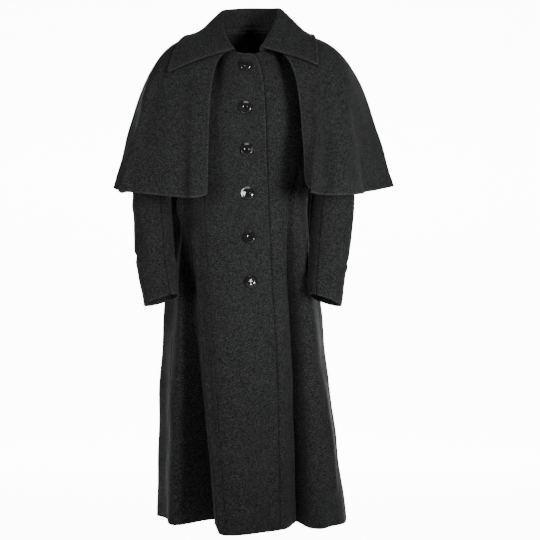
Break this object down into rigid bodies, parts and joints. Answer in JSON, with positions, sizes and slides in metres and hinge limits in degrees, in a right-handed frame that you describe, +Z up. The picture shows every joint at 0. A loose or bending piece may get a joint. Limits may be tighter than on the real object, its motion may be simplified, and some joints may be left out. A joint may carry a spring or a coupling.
{
  "type": "caped wool overcoat",
  "caption": "Long flared single-breasted wool overcoat with a pointed turn-down collar, an elbow-length shoulder cape, princess seams and round front buttons, in its worn hollow form.",
  "frame": {"origin": "the middle of the neck base, level with the neck points of the shoulder seams, where the wearer's shoulders hold the coat", "axes": "+Z up, towards the head; -Y out of the coat's front; +X towards the wearer's left"},
  "size_m": [0.6838, 0.484, 1.2431],
  "materials": {
    "wool": "charcoal melange wool coating with a brushed nap",
    "button": "polished black, faceted"
  },
  "bodies": {
    "root": {"right_front": "wool", "left_front": "wool", "right_side_front": "wool", "left_side_front": "wool", "right_side_back": "wool", "left_side_back": "wool", "right_back": "wool", "left_back": "wool", "right_upper_sleeve": "wool", "right_under_sleeve": "wool", "left_upper_sleeve": "wool", "left_under_sleeve": "wool", "collar": "wool", "cape_right_front": "wool", "cape_left_front": "wool", "cape_back": "wool", "button_1": "button", "button_2": "button", "button_3": "button", "button_4": "button", "button_5": "button", "button_6": "button"}
  },
  "joints": []
}
